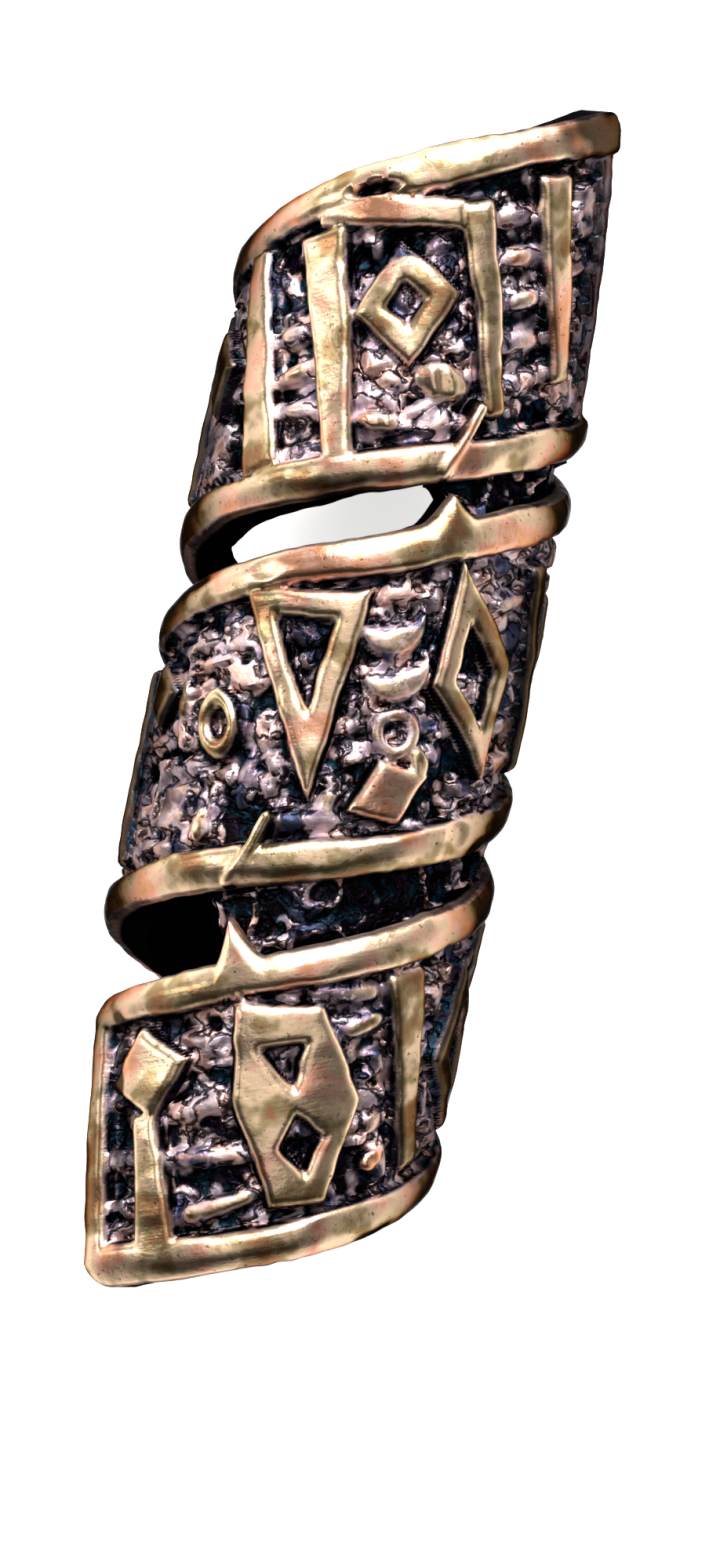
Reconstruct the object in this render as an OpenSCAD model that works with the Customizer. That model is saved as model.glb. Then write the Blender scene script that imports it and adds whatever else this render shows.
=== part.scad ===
// Spiral hair bead: one cast strip with raised rims and marks, wound into an open tube.
// The bead lies on its side. Its axis runs along Y, and +Z is the side that faces up.

/* [Tube] */
// Bore that the lock of hair passes through
bore_d = 8.8; // [7:0.1:12]
// Metal between the bore and the sunken ground
ground_t = 0.9; // [0.6:0.05:1.6]
// Height of the rims and marks above the ground
relief_h = 0.7; // [0.3:0.05:1]
// Depth of the worn flats that the bead rests on
flat_depth = 0.08; // [0.03:0.01:0.2]

/* [Strip] */
// Width of the strip from edge to edge
band_w = 10; // [7:0.1:13]
// Open space between two turns, square to the strip
gap_w = 1.5; // [0.8:0.1:3]
// Turns that the strip makes
turns = 2.37; // [2.2:0.01:2.6]
// Width of the two long rims
rim_w = 1.1; // [0.6:0.05:1.8]
// Width of the rims across the two ends
end_rim_w = 0.85; // [0.5:0.05:1.6]
// Rounding of the four corners
corner_r = 1.2; // [0.4:0.1:2]

/* [Marks] */
// Width of the lines of the pierced marks
line_w = 0.8; // [0.5:0.05:1.1]
// Width of one rung of a ladder
rung_w = 0.4; // [0.2:0.05:0.6]
// Height of the rungs above the ground
rung_h = 0.3; // [0.1:0.05:0.6]

/* [Webs] */
// Depth of the webs below the tops of the rims
web_depth = 0.8; // [0.4:0.05:1.2]
// Width of the spur where a web begins
spur_w = 0.6; // [0.3:0.05:1.2]

/* [Slot] */
// Width of the slot through the underside of the upper turn
slot_w = 2.2; // [1:0.1:3]
// Width of the raised edge round the slot
slot_edge_w = 0.6; // [0.3:0.05:1]

/* [Hidden] */
$fn = 96;

bore_r = bore_d / 2;
ground_r = bore_r + ground_t;
outer_r = ground_r + relief_h;
web_r = outer_r - web_depth;
// Solids start a little inside the bore and end a little outside the tube, and are then trimmed to it.
spare = 0.8;
inner_r = bore_r - spare;
beyond_r = outer_r + spare;
overlap = 0.4;

// The strip is laid out flat and then wound. s runs along its middle from the front of the lowest turn,
// and v runs across it, with zero on the middle.
slope = asin((band_w + gap_w) / (2 * PI * outer_r));
lead = 2 * PI * outer_r * tan(slope);
start_turn = -0.16;
first_s = s_of(start_turn);
last_s = s_of(start_turn + turns);
step_turn = 1 / 36;

function s_of(turn) = turn * 2 * PI * outer_r / cos(slope);
function turn_of(s) = s * cos(slope) / (2 * PI * outer_r);
function along(share) = first_s + share * (last_s - first_s);

// The strip was bent by hand, so it wanders and widens a little.
// turn: place along the spiral; shift: of the middle, up; widen: of each half. Both are shares of gap_w.
section_turn = 0; section_shift = 1; section_widen = 2;
sections = [
    [-0.17, -0.18, -0.34], [0, 0, -0.24], [0.17, 0.18, -0.15], [0.50, 0.14, -0.10],
    [0.83, 0.13, -0.10], [1, 0.11, 0.05], [1.17, 0.09, 0.19], [1.50, 0, 0],
    [1.83, -0.14, -0.24], [2, 0, 0], [2.17, 0.14, 0.22], [2.4, 0.14, 0.22],
];
shifts = [for (row = sections) [row[section_turn], row[section_shift]]];
widens = [for (row = sections) [row[section_turn], row[section_widen]]];

function shift_at(s) = gap_w * lookup(turn_of(s), shifts);
function end_distance(s) = max(min(s - first_s, last_s - s), 0);
function corner_loss(d) = d >= corner_r ? 0 : corner_r - sqrt(corner_r ^ 2 - (corner_r - d) ^ 2);
function half_at(s) =
    band_w / 2 + gap_w * lookup(turn_of(s), widens) - corner_loss(end_distance(s));

function angle_at(s, v) = (s * cos(slope) - v * sin(slope)) / outer_r * 180 / PI;
function height_at(s, v) = s * sin(slope) + v * cos(slope) + shift_at(s);
function at(s, v, r) =
    let (a = angle_at(s, v)) [r * sin(a), height_at(s, v), r * cos(a)];

// Places along the strip: close together at the rounded corners, and even between them.
corner_shares = [0, 0.08, 0.25, 0.55, 1];
steps = ceil((last_s - first_s - 2 * corner_r) / s_of(step_turn));
stations = concat(
    [for (c = corner_shares) first_s + c * corner_r],
    [for (i = [1:steps - 1]) first_s + corner_r + (last_s - first_s - 2 * corner_r) * i / steps],
    [for (i = [len(corner_shares) - 1:-1:0]) last_s - corner_shares[i] * corner_r]
);
start_stations = concat([for (c = corner_shares) if (c * corner_r < end_rim_w) first_s + c * corner_r],
    [first_s + end_rim_w]);
end_stations = [for (i = [len(start_stations) - 1:-1:0]) last_s + first_s - start_stations[i]];

bottom_y = min([for (s = stations) height_at(s, -half_at(s))]);
top_y = max([for (s = stations) height_at(s, half_at(s))]);

// Marks stand across the strip as on a frieze.
// place: share of the strip's length; across, tall, wide: shares of band_w; lean: degrees.
mark_place = 0; mark_across = 1; mark_kind = 2; mark_tall = 3; mark_wide = 4; mark_lean = 5;
marks = [
    [0.030, 0.17, "pellet", 0.22, 0.20, 0], [0.027, -0.17, "bar", 0.42, 0.09, 1],
    [0.082, 0.01, "panel", 0.62, 0.38, 3], [0.125, 0.02, "bar", 0.62, 0.09, 0],
    [0.158, 0.00, "lozenge", 0.56, 0.34, 0], [0.190, 0.00, "bar", 0.66, 0.09, 0],
    [0.223, 0.02, "triangle", 0.58, 0.36, 4], [0.255, 0.00, "bar", 0.64, 0.10, 0],
    [0.286, 0.02, "ring", 0.34, 0.26, 0], [0.318, 0.00, "bar", 0.66, 0.09, 0],
    [0.350, 0.01, "panel", 0.60, 0.36, 0], [0.388, 0.00, "bar", 0.64, 0.09, 0],
    [0.416, 0.16, "pellet", 0.22, 0.18, 0], [0.424, -0.21, "pellet", 0.16, 0.20, 30],
    [0.446, 0.02, "ring", 0.22, 0.15, 0], [0.480, 0.06, "triangle", 0.62, 0.42, -6],
    [0.504, -0.27, "pellet", 0.18, 0.26, 12], [0.511, 0.20, "crescent", 0.14, 0.20, 0],
    [0.509, -0.07, "ring", 0.16, 0.16, 0], [0.541, 0.05, "lozenge", 0.68, 0.34, 4],
    [0.578, 0.00, "bar", 0.66, 0.09, 0], [0.606, 0.02, "ring", 0.32, 0.24, 0],
    [0.636, 0.00, "bar", 0.64, 0.09, 0], [0.800, 0.00, "bar", 0.66, 0.09, 0],
    [0.826, 0.02, "pellet", 0.30, 0.20, 0], [0.852, -0.01, "bar", 0.70, 0.12, 0],
    [0.882, -0.03, "bar", 0.70, 0.13, 0], [0.909, 0.02, "lozenge", 0.44, 0.36, 0],
    [0.935, 0.00, "bar", 0.64, 0.11, 0], [0.909, 0.32, "bar", 0.46, 0.10, 75],
    [0.962, 0.05, "bar", 0.62, 0.11, 1],
];

// Ladders of low rungs lie between the marks.
// place, from, to: as above, with from and to across the strip; count: rungs; long: share of band_w.
rung_place = 0; rung_from = 1; rung_to = 2; rung_count = 3; rung_long = 4;
ladders = [
    [0.052, 0.05, -0.26, 3, 0.17], [0.104, 0.30, 0.20, 2, 0.14], [0.174, 0.24, -0.26, 5, 0.12],
    [0.239, 0.22, -0.28, 5, 0.12], [0.302, 0.26, -0.26, 5, 0.14], [0.368, 0.25, -0.25, 5, 0.12],
    [0.560, 0.24, -0.26, 5, 0.12], [0.621, 0.24, -0.26, 5, 0.12], [0.655, 0.26, -0.24, 5, 0.12],
    [0.784, 0.22, -0.26, 5, 0.12], [0.867, 0.04, -0.33, 4, 0.16], [0.949, 0.26, -0.24, 5, 0.13],
];

// Two webs close part of the gap on the right of the front.
// turn: of the strip below the web; from, to: where the web runs, in turns past the front.
web_turn = 0; web_from = 1; web_to = 2;
webs = [[0, -0.05, 0.34], [1, 0.057, 0.31]];

// The slot is cut straight down, so its places are those seen from above, with zero on the axis.
slot_turn = 1.5;
slot_mid_x = -0.18 * outer_r;
slot_mid_y = height_at(s_of(slot_turn), 0) + 0.02 * band_w;
slot_long = 1.22 * outer_r;
slot_tilt = 25;

// A strip of the tube's wall between two lines that run along the band.
module ribbon(places, low, high) {
    n = len(places);
    points = [for (s = places) each [
        at(s, low(s), inner_r), at(s, high(s), inner_r),
        at(s, high(s), beyond_r), at(s, low(s), beyond_r),
    ]];
    last = 4 * (n - 1);
    sides = [for (i = [0:n - 2], k = [0:3]) let (a = 4 * i + k, b = 4 * i + (k + 1) % 4)
        each [[a, b + 4, b], [a, a + 4, b + 4]]];
    ends = [[0, 1, 2], [0, 2, 3], [last, last + 2, last + 1], [last, last + 3, last + 2]];
    polyhedron(points, concat(ends, sides));
}

// Stands a flat shape on the strip, square to the surface.
module stand(s, v, lean, top_r) {
    translate([0, height_at(s, v), 0])
        rotate([0, angle_at(s, v), 0])
            translate([0, 0, inner_r])
                rotate([0, 0, slope + lean])
                    linear_extrude(top_r + spare - inner_r)
                        children();
}

module along_y(r) {
    translate([0, bottom_y - spare, 0])
        rotate([-90, 0, 0])
            cylinder(r = r, h = top_y - bottom_y + 2 * spare);
}

function lozenge_points(tall, wide) =
    [[0, tall / 2], [wide / 2, 0], [0, -tall / 2], [-wide / 2, 0]];

// A share that draws a lozenge in by one line width on every side.
function lozenge_inner(tall, wide) = 1 - line_w * 2 * norm([tall, wide]) / (tall * wide);

module bar(tall, wide) {
    foot = 0.75 * wide;
    polygon([[-wide / 2, tall / 2], [wide / 2, tall / 2], [foot / 2, -tall / 2], [-foot / 2, -tall / 2]]);
}

module lozenge(tall, wide) {
    inner = max(lozenge_inner(tall, wide), 0.2);
    difference() {
        polygon(lozenge_points(tall, wide));
        polygon(lozenge_points(tall * inner, wide * inner));
    }
}

// Points down, like a pennant. The hole keeps one line width from every side.
module triangle(tall, wide) {
    side = norm([tall, wide / 2]);
    circle_r = tall * wide / (wide + 2 * side);
    inner = max(1 - line_w / circle_r, 0.2);
    centre_y = tall / 2 - circle_r;
    corners = [[-wide / 2, tall / 2], [wide / 2, tall / 2], [0, -tall / 2]];
    difference() {
        polygon(corners);
        polygon([for (p = corners) [p[0] * inner, centre_y + (p[1] - centre_y) * inner]]);
    }
}

module ring(tall, wide) {
    inner = max(1 - line_w / min(tall, wide), 0.3);
    difference() {
        polygon([for (a = [0:30:330]) [wide / 2 * cos(a), tall / 2 * sin(a)]]);
        polygon([for (a = [0:30:330]) inner * [wide / 2 * cos(a), tall / 2 * sin(a)]]);
    }
}

module pellet(tall, wide) {
    polygon(lozenge_points(tall, wide));
}

module crescent(tall, wide) {
    polygon(concat(
        [for (a = [180:30:360]) [wide / 2 * cos(a), tall / 2 + tall * sin(a)]],
        [for (a = [330:-30:210]) [wide / 2 * cos(a), tall / 2 + 0.35 * tall * sin(a)]]
    ));
}

// A leaning six-sided plate with two holes. Its corners are shares of its own height and width.
module panel(tall, wide) {
    outline = [[-0.38, 0.5], [0.32, 0.4], [0.5, -0.08], [0.12, -0.5], [-0.34, -0.44], [-0.5, 0.08]];
    upper_hole = [[-0.24, 0.27], [0.16, 0.25], [-0.02, 0.06]];
    lower_hole = [[-0.02, -0.06], [0.18, -0.19], [-0.02, -0.34], [-0.2, -0.19]];
    difference() {
        polygon([for (p = outline) [p[0] * wide, p[1] * tall]]);
        polygon([for (p = upper_hole) [p[0] * wide, p[1] * tall]]);
        polygon([for (p = lower_hole) [p[0] * wide, p[1] * tall]]);
    }
}

module mark_shape(kind, tall, wide) {
    if (kind == "bar") bar(tall, wide);
    if (kind == "lozenge") lozenge(tall, wide);
    if (kind == "triangle") triangle(tall, wide);
    if (kind == "ring") ring(tall, wide);
    if (kind == "pellet") pellet(tall, wide);
    if (kind == "crescent") crescent(tall, wide);
    if (kind == "panel") panel(tall, wide);
}

module all_marks() {
    for (m = marks)
        stand(along(m[mark_place]), m[mark_across] * band_w, m[mark_lean], outer_r)
            mark_shape(m[mark_kind], m[mark_tall] * band_w, m[mark_wide] * band_w);
}

module rungs() {
    for (row = ladders, i = [0:row[rung_count] - 1])
        stand(along(row[rung_place]),
            band_w * (row[rung_from] + (row[rung_to] - row[rung_from]) * i / (row[rung_count] - 1)),
            0, ground_r + rung_h)
            square([row[rung_long] * band_w, rung_w], center = true);
}

module rims() {
    ribbon(stations, function(s) half_at(s) - rim_w, function(s) half_at(s));
    ribbon(stations, function(s) -half_at(s), function(s) rim_w - half_at(s));
    ribbon(start_stations, function(s) -half_at(s), function(s) half_at(s));
    ribbon(end_stations, function(s) -half_at(s), function(s) half_at(s));
}

module ground() {
    ribbon(stations, function(s) -half_at(s), function(s) half_at(s));
}

// One web lies between the top edge of a turn and the bottom edge of the next.
function gap_low(s) = half_at(s) - overlap;
function gap_high(s) = band_w + gap_w - half_at(s + s_of(1)) + overlap
    + (shift_at(s + s_of(1)) - shift_at(s)) * cos(slope);

module web(row) {
    n = ceil((row[web_to] - row[web_from]) / step_turn);
    edge = band_w / 2 * tan(slope);
    ribbon([for (i = [0:n]) s_of(row[web_turn] + row[web_from]) + edge
            + (s_of(row[web_to]) - s_of(row[web_from])) * i / n],
        function(s) gap_low(s), function(s) gap_high(s));
}

// A pointed spur closes the open end of the gap where a web begins.
module spur(row) {
    s = s_of(row[web_turn] + row[web_from]) + band_w / 2 * tan(slope);
    low = gap_low(s);
    rise = gap_high(s) - low;
    stand(s, low, 0, outer_r)
        polygon([[-spur_w / 2, 0], [2 * spur_w, 0], [spur_w / 2, 0.5 * rise],
            [spur_w / 2, rise], [-spur_w / 2, rise]]);
}

module slot_shape(wide, long) {
    square([long - wide, wide], center = true);
    for (side = [-1, 1]) translate([side * (long - wide) / 2, 0]) circle(d = wide);
}

module below_axis(wide, long) {
    translate([slot_mid_x, slot_mid_y, -beyond_r])
        rotate([0, 0, slot_tilt])
            linear_extrude(beyond_r)
                slot_shape(wide, long);
}

module spiral_bead() {
    color("#b08d57")
        translate([0, -(top_y + bottom_y) / 2, outer_r - flat_depth])
            difference() {
                union() {
                    intersection() {
                        along_y(ground_r);
                        ground();
                    }
                    intersection() {
                        along_y(outer_r);
                        union() {
                            rims();
                            all_marks();
                            for (row = webs) spur(row);
                        }
                    }
                    intersection() {
                        along_y(ground_r + rung_h);
                        rungs();
                    }
                    intersection() {
                        along_y(web_r);
                        for (row = webs) web(row);
                    }
                    intersection() {
                        along_y(outer_r);
                        ground();
                        below_axis(slot_w + 2 * slot_edge_w, slot_long + 2 * slot_edge_w);
                    }
                }
                along_y(bore_r);
                below_axis(slot_w, slot_long);
                translate([-outer_r, bottom_y - spare, -outer_r - spare])
                    cube([2 * outer_r, top_y - bottom_y + 2 * spare, spare + flat_depth]);
            }
}

spiral_bead();
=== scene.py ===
import math

import bpy
import numpy as np
from mathutils import Matrix, Vector


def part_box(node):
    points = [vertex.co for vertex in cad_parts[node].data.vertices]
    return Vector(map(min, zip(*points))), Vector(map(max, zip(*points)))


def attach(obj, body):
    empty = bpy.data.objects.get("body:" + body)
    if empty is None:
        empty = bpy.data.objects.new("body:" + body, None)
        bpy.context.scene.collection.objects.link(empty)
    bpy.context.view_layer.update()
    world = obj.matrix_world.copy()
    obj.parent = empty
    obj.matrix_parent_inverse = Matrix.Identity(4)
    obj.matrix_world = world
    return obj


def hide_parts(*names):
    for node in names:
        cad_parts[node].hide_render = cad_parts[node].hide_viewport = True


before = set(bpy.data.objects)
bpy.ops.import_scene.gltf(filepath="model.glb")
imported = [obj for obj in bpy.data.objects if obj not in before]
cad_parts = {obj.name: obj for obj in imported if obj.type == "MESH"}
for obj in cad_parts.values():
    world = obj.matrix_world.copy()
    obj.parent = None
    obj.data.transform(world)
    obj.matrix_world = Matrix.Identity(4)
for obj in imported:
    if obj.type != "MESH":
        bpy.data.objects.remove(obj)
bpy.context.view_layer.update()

mm = 0.001

# The strip, in millimetres, as the frame's spiral_bead has it
strip = {
    "bore": 8.8,
    "ground": 0.9,
    "relief": 0.7,
    "width": 10.0,
    "gap": 1.5,
    "turns": 2.37,
    "startTurn": -0.16,
    "rim": 1.22,
    "endRim": 1.05,
    "lastRim": 0.6,         # height of the last end's rim, as a share of the first's
    "filed": 0.8,           # the last end was filed down this far, over this length
    "filedLong": 0.4,
    "crown": 0.07,          # how far a rim's face is rounded, as a share of the relief
    "swell": 0.16,          # rims and marks are cast a little fuller than drawn
    "firstCorner": 1.2,
    "lastCorner": 0.45,
    "waver": 0.035,         # how far edges wander off their line, in short and long waves
    "waverSize": 0.45,
    "longWaver": 0.09,
    "longWaverSizes": (1.7, 1.9),
    "sideWavers": ((0.05, 1.3), (0.02, 0.4)),   # of the strip's own sides: how far, how long
    "rimWaver": 0.12,       # how much a rim's width changes, as a share of it
    "rimWaverSize": 2.6,
    "groove": 0.42,         # width of the dark dip beside rims and marks
    "line": 0.8,
    "spurReach": 2.4,       # how far in from the rim a spur draws the strip along
    "barRound": 0.15,       # rounded corners of the bars
    "foot": 0.5,            # foot of a bar, as a share of its head
    "markTop": 0.95,        # marks stand a little lower than the rims, each at its own height
    "markVaries": 0.05,
    "smallMark": 0.2,       # the cloth passes over marks that are less tall than this share
    "smallTop": 0.70,
    "rungWidth": 0.74,
    "rungLift": 0.64,
    "rungBow": 0.12,
    "gridStep": 0.130,
    "wallRows": 3,
    "innerRows": 6,
}

# The ground between the marks, in millimetres, with lifts as shares of the relief
castGround = {
    "seed": 11,
    "islandSize": 1.10,     # low islands all over the ground
    "islandLift": 0.76,
    "finerIslands": 0.40,
    "sea": 0.36,            # the more of it, the wider the islands
    "shore": 0.80,          # the more of it, the gentler their sides
    "narrow": (1.6, 1.8, 1.5),  # islands, finer ones and cracks: how much narrower across the strip
    "bend": 0.35,
    "bendSize": 1.1,
    "crackSize": 0.80,
    "crackWide": 0.34,
    "scraps": 300,          # slivers of wax left between the marks
    "scrapReach": 3.9,      # from the middle of the strip
    "scrapLong": (0.35, 1.1),
    "scrapWide": (0.16, 0.34),
    "scrapTop": (0.30, 0.66),
    "scrapTurns": [0.0, 0.25, 1.4, 2.5],
    "scrapStray": 0.3,
    "underLadders": 0.22,   # what is left of the ground's lifts there
    "top": 0.60,            # nothing between the marks stands higher
}

outerR = strip["bore"] / 2 + strip["ground"] + strip["relief"]
slope = math.asin((strip["width"] + strip["gap"]) / (2 * math.pi * outerR))
sinSlope, cosSlope = math.sin(slope), math.cos(slope)
turnLength = 2 * math.pi * outerR / cosSlope
stripLength = strip["turns"] * turnLength
firstS = strip["startTurn"] * turnLength
lastS = firstS + stripLength

# turn, shift of the middle, widening of each half; the last two are shares of the gap
sections = [
    (-0.17, -0.18, -0.34), (0, 0, -0.24), (0.17, 0.18, -0.15), (0.50, 0.14, -0.10),
    (0.83, 0.13, -0.10), (1, 0.11, 0.05), (1.17, 0.09, 0.19), (1.50, 0, 0),
    (1.83, -0.14, -0.24), (2, 0, 0), (2.17, 0.14, 0.22), (2.4, 0.14, 0.22),
]

# place along the strip, across, kind, tall, wide, lean
# the first is a share of the strip's length, the others are shares of its width, the lean is in degrees
marks = [
    (0.031, 0.17, "pellet", 0.28, 0.29, 8), (0.030, -0.17, "bar", 0.44, 0.14, 181),
    (0.082, 0.01, "panel", 0.65, 0.39, 3), (0.125, 0.02, "bar", 0.62, 0.14, 0),
    (0.158, 0.00, "lozenge", 0.56, 0.34, 0), (0.190, 0.00, "bar", 0.66, 0.09, 0),
    (0.223, 0.02, "triangle", 0.58, 0.36, 4), (0.255, 0.00, "bar", 0.64, 0.10, 0),
    (0.286, 0.02, "ring", 0.34, 0.26, 0), (0.318, 0.00, "bar", 0.66, 0.09, 0),
    (0.350, 0.01, "panel", 0.60, 0.36, 0), (0.388, 0.00, "bar", 0.64, 0.09, 0),
    (0.416, 0.16, "pellet", 0.22, 0.18, 0), (0.424, -0.21, "pellet", 0.16, 0.20, 30),
    (0.446, 0.02, "ring", 0.22, 0.15, 0), (0.480, 0.06, "triangle", 0.62, 0.42, -6),
    (0.504, -0.27, "pellet", 0.20, 0.28, 12), (0.511, 0.20, "crescent", 0.13, 0.23, 0),
    (0.512, 0.06, "crescent", 0.12, 0.22, 8),
    (0.509, -0.10, "ring", 0.16, 0.16, 0), (0.541, 0.05, "lozenge", 0.68, 0.34, 4),
    (0.578, 0.00, "bar", 0.66, 0.09, 0), (0.606, 0.02, "ring", 0.32, 0.24, 0),
    (0.636, 0.00, "bar", 0.64, 0.09, 0), (0.800, 0.00, "bar", 0.66, 0.09, 0),
    (0.826, 0.02, "pellet", 0.30, 0.20, 0), (0.852, -0.01, "bar", 0.70, 0.15, 180),
    (0.882, -0.03, "bar", 0.70, 0.16, 0), (0.908, 0.05, "lozenge", 0.38, 0.34, 0),
    (0.936, 0.00, "bar", 0.64, 0.11, 0), (0.907, 0.335, "beam", 0.48, 0.10, 77),
    (0.965, 0.05, "bar", 0.62, 0.13, 1),
]

# place, from, to, count, length of one rung
ladders = [
    (0.051, 0.05, -0.26, 3, 0.26), (0.104, 0.30, 0.20, 2, 0.20), (0.174, 0.24, -0.26, 5, 0.12),
    (0.239, 0.22, -0.28, 5, 0.12), (0.302, 0.26, -0.26, 5, 0.14), (0.368, 0.25, -0.25, 5, 0.12),
    (0.560, 0.24, -0.26, 5, 0.12), (0.621, 0.24, -0.26, 5, 0.12), (0.655, 0.26, -0.24, 5, 0.12),
    (0.784, 0.22, -0.26, 5, 0.12), (0.868, 0.04, -0.33, 4, 0.18), (0.950, 0.26, -0.24, 5, 0.19),
]

# how high knots and flash stand, as shares of the relief, and how wide the flash is
castFlaws = {"knotTop": 0.86, "ribDepth": 0.06, "flashTop": 1.18, "flashWide": 0.38,
             "flashSide": 0.28}

# knots of bronze with ribs: place, millimetres across, length, width, lean
knots = [(0.918, -2.0, 0.92, 0.60, -25), (0.516, -2.0, 0.34, 0.55, 10), (0.896, -2.9, 0.75, 0.30, -20),
         (0.431, 1.2, 0.26, 0.7, 0), (0.437, -2.9, 0.26, 0.6, -20), (0.108, -2.2, 0.5, 0.35, 15)]

# flash left by the mould: start and end, each a share of the length and millimetres across
flashes = [((0.930, -2.9), (0.915, -4.8)), ((0.463, -2.9), (0.448, -4.8))]

# dents and cavities: place, millimetres across, length, width, depth as a share of the relief
dents = [
    (0.902, 4.05, 0.75, 0.16, 0.9), (0.905, 2.2, 1.4, 0.5, 0.45), (0.942, -4.6, 0.7, 0.3, 0.12),
    (0.470, 4.4, 0.5, 0.3, 0.14), (0.095, -4.5, 0.9, 0.4, 0.12), (0.530, -4.3, 0.45, 0.4, 0.13),
]

# darker places: place, millimetres across, length, width, strength; those at the last end are painted
# shade, as that end faces away from the lights
darkSpots = [(1.0, 4.6, 3.4, 2.0, 0.6), (1.0, 5.0, 1.4, 1.2, 1.0), (1.0, -4.6, 2.0, 1.2, 0.9),
          (0.842, 4.9, 1.6, 0.8, 0.8), (0.430, 4.8, 1.4, 0.5, 0.7), (0.560, -4.9, 2.4, 0.45, 0.8),
          (0.106, -4.7, 0.9, 0.4, 0.6), (0.018, 0.2, 0.50, 4.2, 0.7), (0.885, -4.8, 1.6, 0.35, 0.5),
          (0.992, 0.0, 1.6, 4.6, 0.7)]

slot = {"wide": 2.2, "long": 1.22 * outerR, "edge": 0.6, "tilt": 25, "turn": 1.5,
        "midX": -0.18 * outerR, "rise": 0.02 * strip["width"]}

# turn of the strip below, start and end in turns past the front
webs = [(0, -0.053, 0.34), (1, 0.075, 0.31)]
web = {"depth": 0.8, "overlap": 0.4, "flare": 0.8, "step": 0.13,
       "ridge": 0.45, "ridgeSize": 1.0, "ridgeWide": 0.25}

# spurs on the upper rim where a web begins: turns past the front, rise, width before and after the tip
spurs = [(-0.047, 1.35, 0.60, 1.00), (1.071, 0.80, 1.1, 0.8)]


def shiftAt(s):
    turn = s / turnLength
    return strip["gap"] * np.interp(turn, [r[0] for r in sections], [r[1] for r in sections])


def halfAt(s):
    turn = s / turnLength
    half = strip["width"] / 2 + strip["gap"] * np.interp(
        turn, [r[0] for r in sections], [r[2] for r in sections])
    for c, fromEnd in ((strip["firstCorner"], s - firstS), (strip["lastCorner"], lastS - s)):
        d = np.clip(fromEnd, 0, c)
        half = half - (c - np.sqrt(c * c - (c - d) ** 2))
    return half


def spurRise(s):
    rise = np.zeros(s.shape)
    for turn, height, before, after in spurs:
        d = s - turn * turnLength - strip["width"] / 2 * sinSlope / cosSlope
        t = np.clip(1 - np.where(d < 0, -d / before, d / after), 0, 1)
        rise = np.maximum(rise, height * (1.15 * t ** 1.5 - 0.15 * t ** 5))
    return rise


def heightAt(s, v):
    return s * sinSlope + v * cosSlope + shiftAt(s)


def lumps(x, y, size, seed):
    # smooth value noise from -1 to 1 with the given size of one lump
    lattice = np.random.default_rng(seed).uniform(-1, 1, (256, 256))
    gx, gy = x / size + 100, y / size + 100
    ix, iy = np.floor(gx).astype(int), np.floor(gy).astype(int)
    fx, fy = gx - ix, gy - iy
    fx, fy = fx * fx * (3 - 2 * fx), fy * fy * (3 - 2 * fy)
    a, b = lattice[ix % 256, iy % 256], lattice[(ix + 1) % 256, iy % 256]
    c, d = lattice[ix % 256, (iy + 1) % 256], lattice[(ix + 1) % 256, (iy + 1) % 256]
    return (a * (1 - fx) + b * fx) * (1 - fy) + (c * (1 - fx) + d * fx) * fy


def smooth(x):
    x = np.clip(x, 0, 1)
    return x * x * (3 - 2 * x)


# side of a rim or mark, from its foot: distance in millimetres and share of the relief
sides = [(0, 0), (0.05, 0.20), (0.13, 0.64), (0.19, 0.83), (0.25, 0.92), (0.32, 0.97), (0.40, 1)]
# outer edge of the strip: distance from the edge and drop, both in millimetres
outerEdge = [(0, 0.40), (0.05, 0.26), (0.12, 0.18), (0.22, 0.12), (0.34, 0.06), (0.46, 0.02), (0.60, 0)]


def shoulder(x):
    return np.interp(x, [r[0] for r in sides], [r[1] for r in sides])


def dome(x):
    return np.sqrt(np.clip(1 - x * x, 0, 1))


def groove(x):
    # the ground dips beside a rim or mark
    return 1 - 0.7 * smooth(1 + x / strip["groove"])


def segmentDistance(px, py, ax, ay, bx, by):
    ex, ey = bx - ax, by - ay
    t = np.clip(((px - ax) * ex + (py - ay) * ey) / (ex * ex + ey * ey), 0, 1)
    return np.hypot(px - ax - t * ex, py - ay - t * ey)


def insideDistance(px, py, corners):
    # distance to a polygon's outline, positive inside it
    best = np.full(px.shape, 1e9)
    inside = np.zeros(px.shape, bool)
    for (ax, ay), (bx, by) in zip(corners, corners[1:] + corners[:1]):
        best = np.minimum(best, segmentDistance(px, py, ax, ay, bx, by))
        rise = by - ay
        crosses = (ay > py) != (by > py)
        inside ^= crosses & (px < ax + (py - ay) * (bx - ax) / (rise if rise else 1e-9))
    return np.where(inside, best, -best)


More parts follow.
